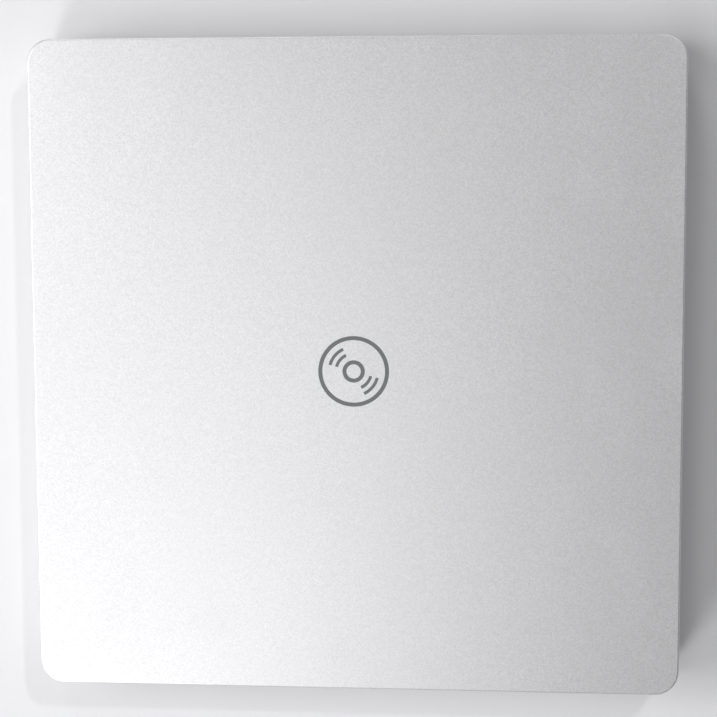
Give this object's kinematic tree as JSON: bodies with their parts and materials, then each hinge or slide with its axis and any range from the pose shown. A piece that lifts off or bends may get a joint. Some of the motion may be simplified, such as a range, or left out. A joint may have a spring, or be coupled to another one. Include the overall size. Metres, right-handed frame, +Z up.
{
  "type": "external optical drive",
  "caption": "Square slab-shaped external disc drive in a silver two-shell case, with a sliding disc tray, spindle, laser pickup, eject button and a rear connector.",
  "frame": {"origin": "under the centre of the case, at the level of the table", "axes": "+Z up out of the top plate, the tray opens towards -Y, the connector is at +Y"},
  "size_m": [0.145, 0.146, 0.017],
  "materials": {
    "silver_shell": "fine bead-blasted, anodised",
    "silver_plastic": "fine satin texture",
    "bezel_plastic": "satin silver paint",
    "black_plastic": "fine matt texture",
    "foot_rubber": "matt",
    "sheet_steel": "zinc-plated sheet",
    "bright_steel": "ground",
    "screw_steel": "plated",
    "die_cast": "as cast",
    "brass": "turned",
    "board": "solder mask",
    "chip": "moulded epoxy",
    "pad_rubber": "matt",
    "claw_plastic": "smooth",
    "lamp_plastic": "clear",
    "lens_glass": "coated",
    "magnet": "nickel-plated",
    "winding": "enamelled copper on laminations",
    "film": "laminated film",
    "spring_steel": "drawn wire"
  },
  "bodies": {
    "case": {"top_cover": "silver_shell", "bottom_cover": "silver_plastic", "rubber_feet": "foot_rubber", "case_screws": "screw_steel", "drive_chassis": "sheet_steel", "latch_pin": "bright_steel", "drive_lid": "sheet_steel", "chassis_screws": "screw_steel", "guide_channel_left": "black_plastic", "guide_channel_right": "black_plastic", "bridge_board": "board", "bridge_chips": "chip", "board_screws": "screw_steel", "usb_c_port": "bright_steel", "usb_c_tongue": "black_plastic", "sata_receptacle": "black_plastic", "drive_connector": "black_plastic", "flat_cable": "film"},
    "tray_unit": {"tray": "black_plastic", "tray_bezel": "bezel_plastic", "lamp_lens": "lamp_plastic", "tray_underplate": "sheet_steel", "tray_screws": "screw_steel", "tray_board": "board", "tray_chips": "chip", "switch_board": "board", "mechanism_cover": "sheet_steel", "cover_screws": "screw_steel", "traverse_frame": "sheet_steel", "dampers": "pad_rubber", "damper_screws": "screw_steel", "motor_base": "sheet_steel", "motor_bearing": "brass", "motor_stator": "winding", "guide_rod_main": "bright_steel", "guide_rod_side": "bright_steel", "sled_motor": "bright_steel", "latch_solenoid": "winding", "ejector_bracket": "sheet_steel", "ejector_spring": "spring_steel"},
    "rail_left": {"slide_rail_left": "bright_steel"},
    "rail_right": {"slide_rail_right": "bright_steel"},
    "button": {"eject_button": "bezel_plastic"},
    "ejector": {"ejector_plunger": "black_plastic"},
    "latch": {"latch_lever": "black_plastic"},
    "spindle": {"spindle_shaft": "bright_steel", "spindle_rotor": "sheet_steel", "turntable": "claw_plastic", "turntable_pad": "pad_rubber"},
    "claw_1": {"chuck_claw_1": "claw_plastic"},
    "claw_2": {"chuck_claw_2": "claw_plastic"},
    "claw_3": {"chuck_claw_3": "claw_plastic"},
    "sled": {"pickup_base": "die_cast", "laser_diodes": "brass", "pickup_cover": "sheet_steel", "pickup_magnets": "magnet", "pickup_nut": "black_plastic"},
    "lens": {"lens_holder": "black_plastic", "objective_lens": "lens_glass"},
    "screw": {"lead_screw": "bright_steel"}
  },
  "joints": [
    {"name": "tray_slide", "type": "slide", "parent": "case", "child": "tray_unit", "axis": [0, -1, 0], "range_m": [0, 0.128], "deforming": ["flat_cable"]},
    {"name": "rail_left_slide", "type": "slide", "parent": "case", "child": "rail_left", "axis": [0, -1, 0], "range_m": [0, 0.064]},
    {"name": "rail_right_slide", "type": "slide", "parent": "case", "child": "rail_right", "axis": [0, -1, 0], "range_m": [0, 0.064]},
    {"name": "button_press", "type": "slide", "parent": "tray_unit", "child": "button", "axis": [0, 1, 0], "range_m": [0, 0.0006], "stiffness_N_per_m": 300, "springref_m": -0.0005},
    {"name": "ejector_slide", "type": "slide", "parent": "tray_unit", "child": "ejector", "axis": [0, 1, 0], "range_m": [0, 0.012], "deforming": ["ejector_spring"]},
    {"name": "latch_swing", "type": "hinge", "parent": "tray_unit", "child": "latch", "pos_m": [0.052, -0.046, 0.0056], "axis": [0, 0, 1], "range_deg": [0, 14]},
    {"name": "spindle_spin", "type": "hinge", "parent": "tray_unit", "child": "spindle", "pos_m": [0, -0.0072, 0.009], "axis": [0, 0, 1], "continuous": true},
    {"name": "sled_slide", "type": "slide", "parent": "tray_unit", "child": "sled", "axis": [-0.7071, -0.7071, 0], "range_m": [0, 0.035]},
    {"name": "screw_spin", "type": "hinge", "parent": "tray_unit", "child": "screw", "pos_m": [-0.03571, -0.01392, 0.0072], "axis": [-0.7071, -0.7071, 0], "range_deg": [-4205, 0]},
    {"name": "lens_focus", "type": "slide", "parent": "sled", "child": "lens", "axis": [0, 0, 1], "range_m": [-0.0005, 0.0005], "stiffness_N_per_m": 30},
    {"name": "claw_1_spring", "type": "slide", "parent": "spindle", "child": "claw_1", "axis": [-0.7071, -0.7071, 0], "range_m": [-0.0005, 0], "stiffness_N_per_m": 60, "springref_m": 0.0002},
    {"name": "claw_2_spring", "type": "slide", "parent": "spindle", "child": "claw_2", "axis": [0.9659, -0.2588, 0], "range_m": [-0.0005, 0], "stiffness_N_per_m": 60, "springref_m": 0.0002},
    {"name": "claw_3_spring", "type": "slide", "parent": "spindle", "child": "claw_3", "axis": [-0.2588, 0.9659, 0], "range_m": [-0.0005, 0], "stiffness_N_per_m": 60, "springref_m": 0.0002}
  ],
  "couplings": [
    {"joint": "rail_left_slide", "follows": "tray_slide", "ratio": 0.5},
    {"joint": "rail_right_slide", "follows": "tray_slide", "ratio": 0.5},
    {"joint": "ejector_slide", "follows": "tray_slide", "ratio": 0.09375},
    {"joint": "screw_spin", "follows": "sled_slide", "rad_per_m": -2094.4}
  ]
}
